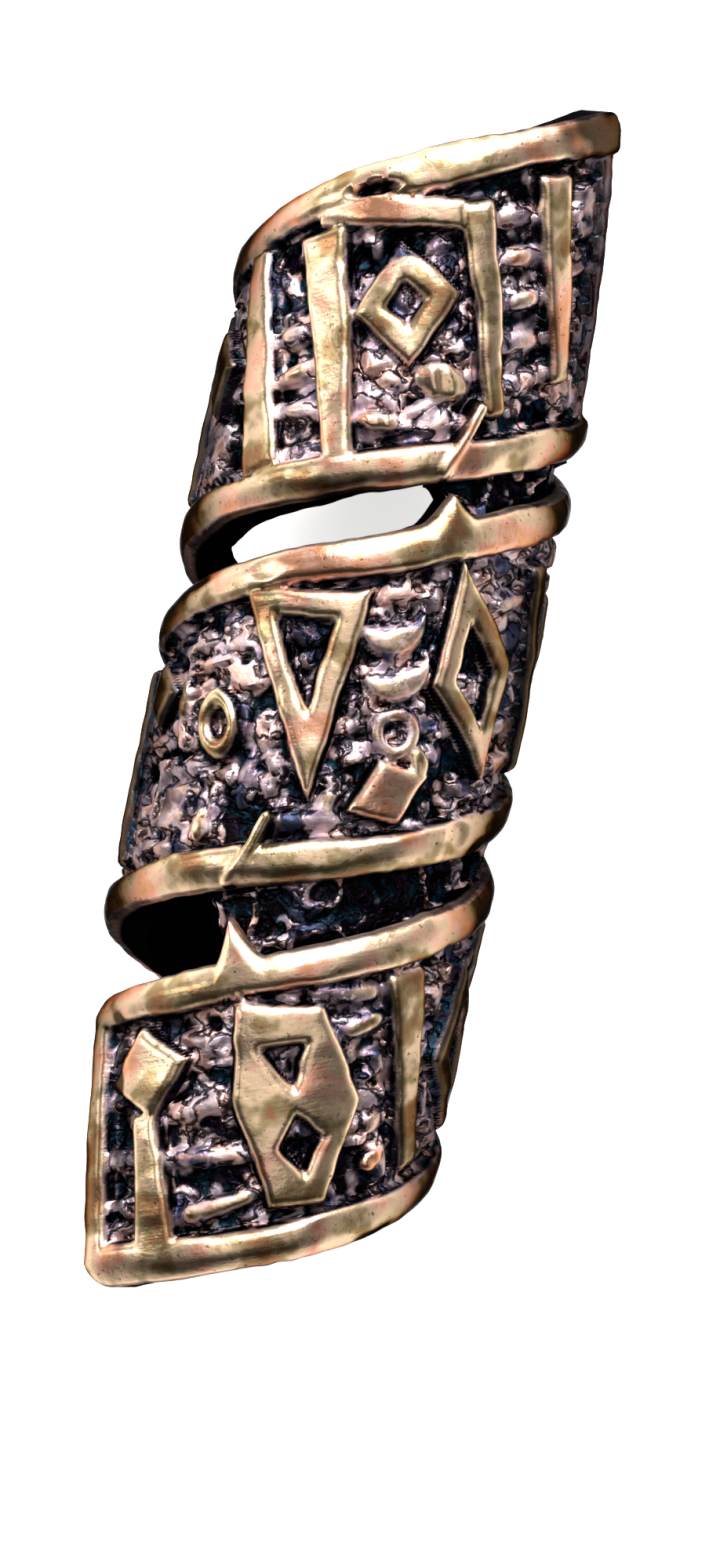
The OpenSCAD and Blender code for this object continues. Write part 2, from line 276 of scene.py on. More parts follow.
def markOutlines(kind, tall, wide):
    # outline and holes of one mark, in millimetres round its middle
    line = strip["line"]
    if kind in ("bar", "beam"):
        tall, wide = tall - 2 * strip["barRound"], wide - 2 * strip["barRound"]
    lozenge = [(0, tall / 2), (wide / 2, 0), (0, -tall / 2), (-wide / 2, 0)]
    if kind == "bar":
        foot = strip["foot"] * wide / 2
        return [(-wide / 2, tall / 2), (wide / 2, tall / 2), (foot, -tall / 2), (-foot, -tall / 2)], []
    if kind == "beam":
        return [(-wide / 2, tall / 2), (wide / 2, tall / 2), (wide / 2, -tall / 2),
                (-wide / 2, -tall / 2)], []
    if kind == "pellet":
        return lozenge, []
    if kind == "lozenge":
        k = max(1 - 2 * line * math.hypot(tall, wide) / (tall * wide), 0.2)
        return lozenge, [[(k * x, k * y) for x, y in lozenge]]
    if kind == "triangle":
        side = math.hypot(tall, wide / 2)
        inR = tall * wide / (wide + 2 * side)
        k, cy = max(1 - line / inR, 0.2), tall / 2 - inR
        corners = [(-wide / 2, tall / 2), (wide / 2, tall / 2), (0, -tall / 2)]
        return corners, [[(k * x, cy + k * (y - cy)) for x, y in corners]]
    if kind == "ring":
        k = max(1 - line / min(tall, wide), 0.3)
        turn = [math.radians(a) for a in range(0, 360, 20)]
        oval = [(wide / 2 * math.cos(a), tall / 2 * math.sin(a)) for a in turn]
        return oval, [[(k * x, k * y) for x, y in oval]]
    if kind == "crescent":
        outer = [math.radians(a) for a in range(180, 361, 20)]
        inner = [math.radians(a) for a in range(340, 199, -20)]
        return ([(wide / 2 * math.cos(a), tall / 2 + tall * math.sin(a)) for a in outer]
                + [(wide / 2 * math.cos(a), tall / 2 + 0.35 * tall * math.sin(a)) for a in inner]), []
    outline = [(-0.38, 0.5), (0.32, 0.4), (0.5, -0.08), (0.12, -0.5), (-0.34, -0.44), (-0.5, 0.08)]
    upper = [(-0.24, 0.27), (0.16, 0.25), (-0.02, 0.06)]
    lower = [(-0.02, -0.06), (0.18, -0.19), (-0.02, -0.34), (-0.2, -0.19)]
    scaled = [[(x * wide, y * tall) for x, y in part] for part in (outline, upper, lower)]
    return scaled[0], scaled[1:]


def slotDistance(s, v):
    # distance from the slot's side, seen from below, on the back half of the bead
    angle = (s * cosSlope - v * sinSlope) / outerR
    x, y = outerR * np.sin(angle), heightAt(s, v)
    reach = (slot["long"] - slot["wide"]) / 2
    tilt = math.radians(slot["tilt"])
    dx, dy = reach * math.cos(tilt), reach * math.sin(tilt)
    midY = heightAt(slot["turn"] * turnLength, 0) + slot["rise"]
    d = segmentDistance(x, y, slot["midX"] - dx, midY - dy, slot["midX"] + dx, midY + dy)
    return np.where(np.cos(angle) < 0, d - slot["wide"] / 2, 1e9)


def turned(dx, dy, angle):
    return dx * math.cos(angle) + dy * math.sin(angle), -dx * math.sin(angle) + dy * math.cos(angle)


def brokenGround(s, v, ws, wv):
    # islands parted by winding cracks, with slivers of wax over them
    g = castGround
    bend, size = g["bend"] * lumps(s, v, g["bendSize"], 15), g["islandSize"]
    islands, finer, cracks = g["narrow"]
    field = (lumps(s + bend, islands * v - bend, size, 16)
             + g["finerIslands"] * lumps(s - bend, finer * v, size / 2, 17))
    lift = g["islandLift"] * smooth((field + g["sea"]) / g["shore"]) * (1 + 0.4 * lumps(s, v, 1.4, 18))
    crack = np.abs(lumps(s + 0.4 * bend, cracks * v + bend, g["crackSize"], 30))
    lift = lift * (0.2 + 0.8 * smooth(crack / g["crackWide"]))
    dice = np.random.default_rng(g["seed"])
    for i in range(g["scraps"]):
        ms, mv = dice.uniform(firstS, lastS), dice.uniform(-g["scrapReach"], g["scrapReach"])
        long, wide = dice.uniform(*g["scrapLong"]), dice.uniform(*g["scrapWide"])
        turn = dice.choice(g["scrapTurns"]) + dice.uniform(-g["scrapStray"], g["scrapStray"])
        top = dice.uniform(*g["scrapTop"])
        near = (np.abs(s - ms) < 1.2) & (np.abs(v - mv) < 1.2)
        px, py = turned(ws[near] - ms, wv[near] - mv, turn)
        lift[near] = np.maximum(lift[near], top * dome(np.hypot(px / long, py / wide) / 1.3))
    return lift


def clearedForLadders(lift, s, v):
    # the ground lies lower under a ladder
    width, left = strip["width"], castGround["underLadders"]
    for place, start, stop, _, long in ladders:
        beside = np.maximum(np.abs(s - firstS - place * stripLength) - long * width / 2,
                            np.maximum(v - start * width, stop * width - v) - 0.3)
        lift = lift * (left + (1 - left) * smooth(beside / 0.4))
    return lift


def ladderRungs(s, v, ws, wv):
    # lens-shaped rungs, each bowed and as high as its place gives
    width, rungs = strip["width"], np.zeros(s.shape)
    for place, start, stop, count, long in ladders:
        for i in range(count):
            ms, mv = firstS + place * stripLength, width * (start + (stop - start) * i / (count - 1))
            near = (np.abs(s - ms) < 2) & (np.abs(v - mv) < 1)
            bow = strip["rungBow"] * math.sin(9 * i + 50 * place)
            dx, dy = ws[near] - ms, wv[near] - mv - bow * (ws[near] - ms)
            top = strip["rungLift"] * (1 + 0.2 * math.sin(5 * i + 90 * place))
            taper = dome(0.9 * dx / (long * width / 2 + 0.1))
            body = dome(2 * dy / (strip["rungWidth"] * (0.5 + 0.5 * taper))) * smooth(2.5 * taper)
            rungs[near] = np.maximum(rungs[near], top * body)
    return rungs


def rimLift(s, v, edge, rim):
    # the long rims, the end rims and the raised edge round the slot
    across = 2 * (edge + strip["swell"]) / (rim + strip["swell"]) - 1
    crown = 1 - strip["crown"] * np.clip(across, -1, 1) ** 2
    end = np.minimum(s - firstS, lastS - s) - strip["swell"]
    ends = np.where(s < 0, 1, strip["lastRim"]) * shoulder(strip["endRim"] - end)
    lift = np.maximum(crown * shoulder(rim - edge), ends)
    filed = smooth(1.2 - (lastS - s) / strip["filedLong"] + 0.5 * lumps(s, v, 0.9, 27))
    lift = lift * (1 - strip["filed"] * filed)
    return np.maximum(lift, shoulder(slot["edge"] + strip["swell"] - slotDistance(s, v)))


def raiseMarks(lift, ground, rungs, s, v, ws, wv):
    width = strip["width"]
    for place, across, kind, tall, wide, lean in marks:
        ms, mv = firstS + place * stripLength, across * width
        near = (np.abs(s - ms) < 4.5) & (np.abs(v - mv) < 5)
        px, py = turned(ws[near] - ms, wv[near] - mv, math.radians(lean))
        outline, holes = markOutlines(kind, tall * width, wide * width)
        d = insideDistance(px, py, outline) + (strip["barRound"] if kind in ("bar", "beam") else 0)
        for hole in holes:
            d = np.minimum(d, -insideDistance(px, py, hole))
        top = strip["markTop"] + strip["markVaries"] * math.sin(40 * place)
        top = top * (strip["smallTop"] if tall < strip["smallMark"] else 1)
        ground[near] *= groove(d + strip["swell"])
        rungs[near] *= 0.5 + 0.5 * groove(d + strip["swell"])
        lift[near] = np.maximum(lift[near], top * shoulder(d + strip["swell"]))


def liftOf(s, v):
    # share of the full relief at each place: 0 on the ground, 1 on rims and marks
    waver, size, longWaver = strip["waver"], strip["waverSize"], strip["longWaver"]
    alongSize, acrossSize = strip["longWaverSizes"]
    ws = s + waver * lumps(s, v, size, 3) + longWaver * lumps(s, v, alongSize, 13)
    wv = v + waver * lumps(s, v, size, 4) + longWaver * lumps(s, v, acrossSize, 14)
    ground = clearedForLadders(brokenGround(s, v, ws, wv), s, v)
    ground = np.minimum(ground, castGround["top"] + 0.05 * lumps(s, v, 0.5, 28))
    rungs = ladderRungs(s, v, ws, wv)
    edge = halfAt(s) - np.abs(wv) - strip["swell"]
    # the two rims' widths change each in its own way
    rimChange = strip["rimWaver"] * lumps(s, np.sign(v) * 9, strip["rimWaverSize"], 5)
    rim = strip["rim"] * (1 + rimChange)
    ground = ground * groove(rim - edge)
    lift = rimLift(s, v, edge, rim)
    raiseMarks(lift, ground, rungs, s, v, ws, wv)
    lift = np.maximum(lift, np.maximum(ground, rungs))
    for place, mv, long, wide, lean in knots:
        px, py = turned(ws - firstS - place * stripLength, wv - mv, math.radians(lean))
        top = castFlaws["knotTop"] * (1 - castFlaws["ribDepth"] * np.cos(10 * px + 5 * py))
        lift = np.maximum(lift, top * shoulder(0.5 * (1.2 - np.hypot(px / long, py / wide))))
    for (su, sv), (eu, ev) in flashes:
        d = segmentDistance(ws, wv, firstS + su * stripLength, sv, firstS + eu * stripLength, ev)
        crest = smooth((castFlaws["flashWide"] - d) / castFlaws["flashSide"])
        lift = np.maximum(lift, castFlaws["flashTop"] * crest)
    for place, mv, long, wide, depth in dents:
        d = np.hypot((ws - firstS - place * stripLength) / long, (wv - mv) / wide)
        lift = lift - depth * smooth(1.4 - d)
    return lift


# darkening from the darker places listed above; at the last end it is painted shade
def darkSpotAt(s, v):
    darkSpot = np.zeros(s.shape)
    for place, mv, long, wide, strength in darkSpots:
        d = np.hypot((s - firstS - place * stripLength) / long, (v - mv) / wide)
        darkSpot = np.maximum(darkSpot, strength * smooth((1.1 - d + 0.25 * lumps(s, v, 0.5, 29)) / 0.5))
    return darkSpot


def webLift(s, v):
    # a low rough web with a few winding ridges
    flat = -(web["depth"] - strip["relief"]) / strip["relief"]
    ridges = np.abs(lumps(s, 1.3 * v, web["ridgeSize"], 26))
    return flat + web["ridge"] * smooth(1 - ridges / web["ridgeWide"])


def gapLow(s):
    return halfAt(s) - web["overlap"]


def gapHigh(s):
    above = s + turnLength
    return (strip["width"] + strip["gap"] - halfAt(above) + web["overlap"]
            + (shiftAt(above) - shiftAt(s)) * cosSlope)


def steepness(lift, v, places, outers):
    # slope of the outer face, from its neighbours both ways
    steep = np.zeros(v.shape)
    across, alongStrip = v[:, 2:outers] - v[:, :outers - 2], (places[2:] - places[:-2])[:, None]
    steep[1:-1, 1:outers - 1] = strip["relief"] * np.hypot(
        (lift[:, 2:outers] - lift[:, :outers - 2])[1:-1] / across[1:-1],
        (lift[2:, 1:outers - 1] - lift[:-2, 1:outers - 1]) / alongStrip)
    steep[:, 0], steep[:, outers - 1] = steep[:, 1], steep[:, outers - 2]
    return steep


def acrossRows(half, step, edgeRows):
    # places across the outer face, closer together at both edges
    inset = edgeRows[-1]
    count = max(2, round(2 * (half.max() - inset) / step))
    share = np.linspace(-1, 1, count + 2)[1:-1]
    within = np.maximum(half - inset, 0.2 * half)
    rows = np.minimum(np.array(edgeRows), 0.8 * half * np.array(edgeRows) / inset)
    return np.concatenate([rows - half, share * within, half - rows[:, ::-1]], 1)


def loopPiece(name, points, values):
    # closed loops one after another, with a cap at each end and the values stored at the points
    n, m = points.shape[:2]
    i, j = np.meshgrid(np.arange(n - 1), np.arange(m), indexing="ij")
    k = (j + 1) % m
    quads = np.stack([i * m + j, (i + 1) * m + j, (i + 1) * m + k, i * m + k], -1).reshape(-1, 4)
    caps = [list(range(m)), [(n - 1) * m + q for q in range(m - 1, -1, -1)]]
    mesh = bpy.data.meshes.new(name)
    mesh.from_pydata(points.reshape(-1, 3).tolist(), [], quads.tolist() + caps)
    for key, data in values.items():
        layer = mesh.attributes.new(key, "FLOAT", "POINT")
        layer.data.foreach_set("value", np.ascontiguousarray(data, dtype=np.float32).ravel())
    along = mesh.attributes.new("along", "FLOAT_VECTOR", "POINT")
    along.data.foreach_set("vector", np.ascontiguousarray(points, dtype=np.float32).ravel())
    piece = bpy.data.objects.new(name, mesh)
    bpy.context.scene.collection.objects.link(piece)
    return piece


def flatBar(name, places, low, high, step, edgeRows, liftFunction, peak=0):
    # a closed bar laid flat: x along it, y across, z from 0 at the bore to 1 at the outer face
    half, middle = (high - low)[:, None] / 2, (high + low)[:, None] / 2
    walls, inners = strip["wallRows"], strip["innerRows"]
    outerRows, wallRows = acrossRows(half, step, edgeRows), np.repeat(half, walls, 1)
    outers = outerRows.shape[1]
    v = middle + np.concatenate([outerRows, wallRows, np.linspace(1, -1, inners) * half, -wallRows], 1)
    wallZ = np.linspace(1, 0, walls + 2)[1:-1]
    z = np.concatenate([np.ones(outers), wallZ, np.zeros(inners), wallZ[::-1]])
    outside = np.where(z == 1, 1.0, 0.0)
    s = np.repeat(places[:, None], len(z), 1)

    edgeDrop = half - np.abs(v - middle)
    endDrop = np.minimum(places - places[0], places[-1] - places)[:, None]
    d = np.minimum(edgeDrop, endDrop)
    rounding = np.interp(d, [r[0] for r in outerEdge], [r[1] for r in outerEdge]) / strip["relief"]
    peaked = smooth(1 - (high[:, None] - v) / strip["spurReach"])
    v = v + np.broadcast_to(peak, places.shape)[:, None] * peaked
    relief = liftFunction(s, v)
    darkSpot, lift = darkSpotAt(s, v), relief - rounding * outside
    steep = steepness(lift, v, places, outers)
    lift[:, outers:outers + walls] = lift[:, outers - 1:outers]
    lift[:, -walls:] = lift[:, :1]

    # each end face gets a ring of its own just below its edge
    z = np.repeat(z[None, :], len(places), 0)
    outside = np.repeat(outside[None, :], len(places), 0)
    s, v, lift, relief, darkSpot, steep = [
        np.concatenate([a[:1], a, a[-1:]]) for a in (s, v, lift, relief, darkSpot, steep)]
    z = np.concatenate([0.8 * z[:1], z, 0.8 * z[-1:]])
    outside = np.concatenate([0 * outside[:1], outside, 0 * outside[-1:]])
    return loopPiece(name, np.stack([s * mm, v * mm, z], -1), {
        "lift": lift, "wear": relief, "darkSpot": darkSpot, "outside": outside, "steep": steep,
        "shift": shiftAt(s) * mm})


def addNode(tree, kind, inputs=(), stops=(), **settings):
    # inputs stand in the sockets' order or by name; a node given as one stands for its first output
    node = tree.nodes.new(kind)
    for name, value in settings.items():
        setattr(node, name, value)
    sockets = [socket for socket in node.inputs if socket.enabled]
    if isinstance(inputs, dict):
        sockets, inputs = [node.inputs[name] for name in inputs], inputs.values()
    for socket, value in zip(sockets, inputs):
        if isinstance(value, bpy.types.Node):
            value = next(output for output in value.outputs if output.enabled)
        if isinstance(value, bpy.types.NodeSocket):
            tree.links.new(value, socket)
        else:
            socket.default_value = value
    for place, colour in stops:
        node.color_ramp.elements.new(place).color = hexColor(colour)
    if stops:
        # a new ramp's own two stops
        node.color_ramp.elements.remove(node.color_ramp.elements[0])
        node.color_ramp.elements.remove(node.color_ramp.elements[-1])
    return node


def hexColor(text):
    parts = [int(text[i:i + 2], 16) / 255 for i in (1, 3, 5)]
    linear = [p / 12.92 if p <= 0.04045 else ((p + 0.055) / 1.055) ** 2.4 for p in parts]
    return (*linear, 1.0)


eased = {"interpolation_type": "SMOOTHSTEP"}    # for a Map Range that starts and stops gently

# Lost-wax cast bronze, blackened and then rubbed back: the eye gets black in the ground and tan metal
# where fingers reach
bronze = {
    "tan": "#d6b795",
    "rose": "#d8a48c",
    "copper": "#c98f6c",
    "olive": "#a08c66",
    "brown": "#98704f",
    # painted shade: dark brown laid on the flanks, which face sideways away from the lights, and on the
    # darker places
    "sideShadeBrown": "#2e261c",
    "black": "#0b090c",
    "night": "#10212a",     # painted glints deep in the ground
    "plum": "#1a131e",
    "mauve": "#a0858f",
    "teal": "#2f5f70",
    "blue": "#454a63",
    "ash": "#d6bfc0",
    "blush": "#e2b7aa",
    "edgeTint": "#5c5248",  # metal seen edge-on turns dark, not white
    "hueSize": 0.9,
    "tanRough": 0.33,
    "blackRough": 0.32,
    "filmRough": 0.15,      # added where the grey film lies
    "filmMetal": 0.60,      # how metallic the film on the ground's crests is
    "patchSize": 2.2,
    "fleckSize": 0.55,
    "scratchLong": 2.4,
    "scratchWide": 0.09,    # wider than real ones, so that they show
    "scratchDepth": 0.02,
    "sliverLong": 1.25,
    "sliverWide": 0.80,
    "sliverSweep": (2.4, 2.9, 0),   # how far slivers are bent, in slivers, in large and small waves
    "sliverBend": (0.75, 1.0, 0),
    "creaseDepth": 0.06,
    "pitSize": 0.16,
    "pitDepth": 0.035,
    "ragged": 0.5,          # how ragged the border of the rubbed metal is
    "darkSpotHold": 0.8,       # how strongly the darker places hide the metal
    # share of random patches in the painted flank shade
    "sideShadePatches": 0.5,
    "ownTint": 0.22,        # how far a sliver's tint strays from its surroundings'
    "wearShare": 1.5,       # what makes a crest: the height and the cast skin
    "skinShare": 0.6,
    "scratchRough": 0.12,
    "scratchBump": 0.22,
    # ranges: from, to and, where they aren't 0 and 1, what these two become
    "creaseRange": (0.02, 0.19, 0.08),
    "wholeRange": (0.44, 0.60),
    "tintRange": (0.25, 0.60, 0.55),
    "wornRange": (0.80, 1.02),
    "reachRange": (2.4, 1.1, 0.1),
    "pitRange": (0.36, 0.30, 0.0, 0.75),
    "pitBump": (0.0, 1.0, 0.7, 0.3),
    # where the painted flank shade starts and ends
    "sideShadeRange": (1.15, 0.60, 0.0, 0.95),
    "webRange": (0.05, -0.1, 0.0, 0.6),
    "crestRange": (0.30, 0.53),
    "gentleRange": (2.6, 1.3),
    # painted shade of the crests on the flanks: from, to and what the flanks keep
    "frontRange": (0.30, 0.85, 0.25),
    "boreRange": (0.0, 1.0, 0.35, -0.10),
}


def bronzeMaterial():
    made = bpy.data.materials.new("blackenedCastBronze")
    made.use_nodes = True
    tree = made.node_tree
    tree.nodes.clear()
    b = bronze
    place = addNode(tree, "ShaderNodeTexCoord").outputs["Object"]
    along = addNode(tree, "ShaderNodeAttribute", attribute_name="along").outputs["Vector"]
    wear, skin, facing, outside, steep, darkSpot = [
        addNode(tree, "ShaderNodeAttribute", attribute_name=key).outputs["Fac"]
        for key in ("wear", "skin", "facing", "outside", "steep", "darkSpot")]
    patch, fleck, pit, hue = [
        addNode(tree, "ShaderNodeTexNoise", {
            "Vector": place, "Scale": 1 / (b[key] * mm), "Detail": detail, "Roughness": rough})
        for key, detail, rough in (
            ("patchSize", 3, 0.6), ("fleckSize", 4, 0.6), ("pitSize", 3, 0.6), ("hueSize", 2, 0.5))]
    # scratches and slivers are drawn out along the strip, so they follow its own places
    scratched, drawn = [
        addNode(tree, "ShaderNodeVectorMath", [along, (1 / (b[long] * mm), 1 / (b[wide] * mm), 0)],
                operation="MULTIPLY")
        for long, wide in (("scratchLong", "scratchWide"), ("sliverLong", "sliverWide"))]
    scratch = addNode(tree, "ShaderNodeTexNoise", {
        "Vector": scratched, "Scale": 1.0, "Detail": 3, "Roughness": 0.6})

    # the ground is broken into slivers with black creases between them
    swept = addNode(tree, "ShaderNodeVectorMath", [hue.outputs["Color"], b["sliverSweep"], drawn],
                    operation="MULTIPLY_ADD")
    bent = addNode(tree, "ShaderNodeVectorMath", [fleck.outputs["Color"], b["sliverBend"], swept],
                   operation="MULTIPLY_ADD")
    creases, cells = [
        addNode(tree, "ShaderNodeTexVoronoi", {"Vector": bent, "Scale": 1.0},
                voronoi_dimensions="2D", feature=feature)
        for feature in ("DISTANCE_TO_EDGE", "F1")]
    cellTint = cells.outputs["Color"]
    between = addNode(tree, "ShaderNodeMapRange", [creases, *b["creaseRange"]], **eased)
    # rungs and the highest slivers are whole
    high = addNode(tree, "ShaderNodeMapRange", [wear, *b["wholeRange"]], **eased)
    whole = addNode(tree, "ShaderNodeMath", [between, high], operation="MAXIMUM")
    toned = addNode(tree, "ShaderNodeMapRange", [cellTint, *b["tintRange"]])
    sliver = addNode(tree, "ShaderNodeMath", [whole, toned], operation="MULTIPLY")

    # rubbed bright where the relief is high, with a ragged border
    ragged = addNode(tree, "ShaderNodeMath", [fleck, b["ragged"], wear], operation="MULTIPLY_ADD")
    worn = addNode(tree, "ShaderNodeMapRange", [ragged, *b["wornRange"]], **eased)
    # steep sides are out of a polishing cloth's reach
    reached = addNode(tree, "ShaderNodeMapRange", [steep, *b["reachRange"]], **eased)
    polished = addNode(tree, "ShaderNodeMath", [worn, outside], operation="MULTIPLY")
    rubbed = addNode(tree, "ShaderNodeMath", [polished, reached], operation="MULTIPLY")
    warm = addNode(tree, "ShaderNodeValToRGB", [patch], stops=[
        (0.37, b["brown"]), (0.43, b["olive"]), (0.48, b["tan"]), (0.53, b["tan"]), (0.58, b["rose"]),
        (0.64, b["copper"])])
    # small pits keep their black
    pits = addNode(tree, "ShaderNodeMapRange", [pit, *b["pitRange"]])
    pitted = addNode(tree, "ShaderNodeMix", [pits, warm, hexColor(b["black"])], data_type="RGBA")
    # painted shade: the flanks, which face sideways away from the lights, are painted dark brown, more
    # so on the darker places and in random patches
    aside = addNode(tree, "ShaderNodeMath", [facing], operation="ABSOLUTE")
    facingLessSpots = addNode(tree, "ShaderNodeMath", [darkSpot, -b["darkSpotHold"], aside], operation="MULTIPLY_ADD")
    patched = addNode(tree, "ShaderNodeMath", [patch, b["sideShadePatches"], facingLessSpots],
                      operation="MULTIPLY_ADD")
    sideShadeMask = addNode(tree, "ShaderNodeMapRange", [patched, *b["sideShadeRange"]], **eased)
    sideShadedMetal = addNode(tree, "ShaderNodeMix", [sideShadeMask, pitted, hexColor(b["sideShadeBrown"])], data_type="RGBA")

    # grey and mauve film on the crests of the ground, each sliver with a tint of its own
    ownHue = addNode(tree, "ShaderNodeMath", [cellTint, b["ownTint"], hue], operation="MULTIPLY_ADD")
    hueHere = addNode(tree, "ShaderNodeMath", [ownHue, b["ownTint"] / 2], operation="SUBTRACT")
    mauves = addNode(tree, "ShaderNodeValToRGB", [hueHere], stops=[
        (0.32, b["blue"]), (0.40, b["mauve"]), (0.52, b["ash"]), (0.62, b["blush"])])
    # painted glints: teal and plum flecks in the black of the ground
    depths = addNode(tree, "ShaderNodeValToRGB", [hue], stops=[
        (0.38, b["black"]), (0.45, b["night"]), (0.52, b["black"]), (0.58, b["plum"]),
        (0.64, b["black"])])
    # the webs, deeper than the ground, have a blue cast
    deep = addNode(tree, "ShaderNodeMapRange", [wear, *b["webRange"]])
    cool = addNode(tree, "ShaderNodeMix", [deep, mauves, hexColor(b["teal"])], data_type="RGBA")
    partSkin = addNode(tree, "ShaderNodeMath", [skin, b["skinShare"]], operation="MULTIPLY")
    crest = addNode(tree, "ShaderNodeMath", [wear, b["wearShare"], partSkin],
                    operation="MULTIPLY_ADD")
    crested = addNode(tree, "ShaderNodeMapRange", [crest, *b["crestRange"]], **eased)
    gentle = addNode(tree, "ShaderNodeMapRange", [steep, *b["gentleRange"]], **eased)
    clean = addNode(tree, "ShaderNodeMath", [outside, darkSpot], operation="SUBTRACT", use_clamp=True)
    bared = addNode(tree, "ShaderNodeMath", [gentle, clean], operation="MULTIPLY")
    # painted shade: the crests' grey film is dimmed on the flanks, which face sideways away from the
    # lights
    crestSideShade = addNode(tree, "ShaderNodeMapRange", [aside, *b["frontRange"]])
    frontCrest = addNode(tree, "ShaderNodeMath", [crested, crestSideShade], operation="MULTIPLY")
    broken = addNode(tree, "ShaderNodeMath", [frontCrest, sliver], operation="MULTIPLY")
    lit = addNode(tree, "ShaderNodeMath", [broken, bared], operation="MULTIPLY")
    # black patina on the bore and walls, with the painted glints on the outer face
    shade = addNode(tree, "ShaderNodeMix", [outside, hexColor(b["black"]), depths], data_type="RGBA")
    dark = addNode(tree, "ShaderNodeMix", [lit, shade, cool], data_type="RGBA")
    colour = addNode(tree, "ShaderNodeMix", [rubbed, dark, sideShadedMetal], data_type="RGBA")

    bare = addNode(tree, "ShaderNodeMath", [1.0, rubbed], operation="SUBTRACT")
    filmShare = addNode(tree, "ShaderNodeMath", [lit, bare], operation="MULTIPLY")
    metal = addNode(tree, "ShaderNodeMapRange", [filmShare, 0.0, 1.0, 1.0, b["filmMetal"]])
    rough = addNode(tree, "ShaderNodeMapRange", [rubbed, 0.0, 1.0, b["blackRough"], b["tanRough"]])
    duller = addNode(tree, "ShaderNodeMath", [filmShare, b["filmRough"], rough],
                     operation="MULTIPLY_ADD")
    uneven = addNode(tree, "ShaderNodeMath", [scratch, b["scratchRough"], duller],
                     operation="MULTIPLY_ADD")
    # the bore is dull black
    dull = addNode(tree, "ShaderNodeMapRange", [outside, *b["boreRange"]])
    fine = addNode(tree, "ShaderNodeMath", [uneven, dull], operation="ADD")
    pitStrength = addNode(tree, "ShaderNodeMapRange", [rubbed, *b["pitBump"]])
    normal = addNode(tree, "ShaderNodeBump", {
        "Height": pit, "Strength": pitStrength, "Distance": b["pitDepth"] * mm})
    for height, strength, depth in (
            (sliver, bare, b["creaseDepth"]), (scratch, b["scratchBump"], b["scratchDepth"])):
        normal = addNode(tree, "ShaderNodeBump", {
            "Height": height, "Strength": strength, "Distance": depth * mm, "Normal": normal})
    shader = addNode(tree, "ShaderNodeBsdfPrincipled", {
        "Base Color": colour, "Metallic": metal, "Roughness": fine,
        "Specular Tint": hexColor(b["edgeTint"]), "Normal": normal})
    addNode(tree, "ShaderNodeOutputMaterial", {"Surface": shader})
    return made


# Winding the strip, in metres and radians
winding = {
    "Bore Radius": strip["bore"] / 2 * mm,
    "Ground Thickness": strip["ground"] * mm,
    "Relief Height": strip["relief"] * mm,
    "Winding Radius": outerR * mm,
    "Slope": slope,
    "Lump Size": 0.60 * mm,
    "Lump Height": 0.08 * mm,
    "Grain Size": 0.28 * mm,
    "Grain Height": 0.05 * mm,
    "Dent Size": 1.1 * mm,
    "Dent Depth": 0.22 * mm,
    "Seed": 3.0,
}


def castSkin(tree, given, onPlane, lift, outside):
    # round lumps with a finer grain, full on the ground and gone from the rubbed tops
    lumpScale, grainScale, dentScale = [
        addNode(tree, "ShaderNodeMath", [1.0, given[key]], operation="DIVIDE")
        for key in ("Lump Size", "Grain Size", "Dent Size")]
    lump = addNode(tree, "ShaderNodeTexVoronoi", {
        "Vector": onPlane, "W": given["Seed"], "Scale": lumpScale, "Smoothness": 0.3},
        voronoi_dimensions="4D", feature="SMOOTH_F1")
    drawnOut = addNode(tree, "ShaderNodeVectorMath", [onPlane, (0.5, 1, 1)], operation="MULTIPLY")
    grain, dent = [
        addNode(tree, "ShaderNodeTexNoise", {
            "Vector": where, "W": given["Seed"], "Scale": scale, "Detail": detail},
            noise_dimensions="4D")
        for where, scale, detail in ((onPlane, grainScale, 2.0), (drawnOut, dentScale, 1.0))]
    lumpTop = addNode(tree, "ShaderNodeMapRange", [lump, 0.72, 0.15])
    skin = addNode(tree, "ShaderNodeMath", [grain, 0.5, lumpTop], operation="MULTIPLY_ADD")
    lumpRise = addNode(tree, "ShaderNodeMath", [lumpTop, given["Lump Height"]], operation="MULTIPLY")
    grainRise = addNode(tree, "ShaderNodeMath", [grain, given["Grain Height"], lumpRise],
                        operation="MULTIPLY_ADD")
    sunk = addNode(tree, "ShaderNodeMapRange", [lift, 0.85, 0.2], **eased)
    groundRise = addNode(tree, "ShaderNodeMath", [grainRise, sunk], operation="MULTIPLY")
    belowMean = addNode(tree, "ShaderNodeMath", [dent, 0.75], operation="SUBTRACT")
    dentDown = addNode(tree, "ShaderNodeMath", [belowMean, 0.0], operation="MINIMUM")
    dentRise = addNode(tree, "ShaderNodeMath", [dentDown, given["Dent Depth"], groundRise],
                       operation="MULTIPLY_ADD")
    return skin, addNode(tree, "ShaderNodeMath", [dentRise, outside], operation="MULTIPLY")


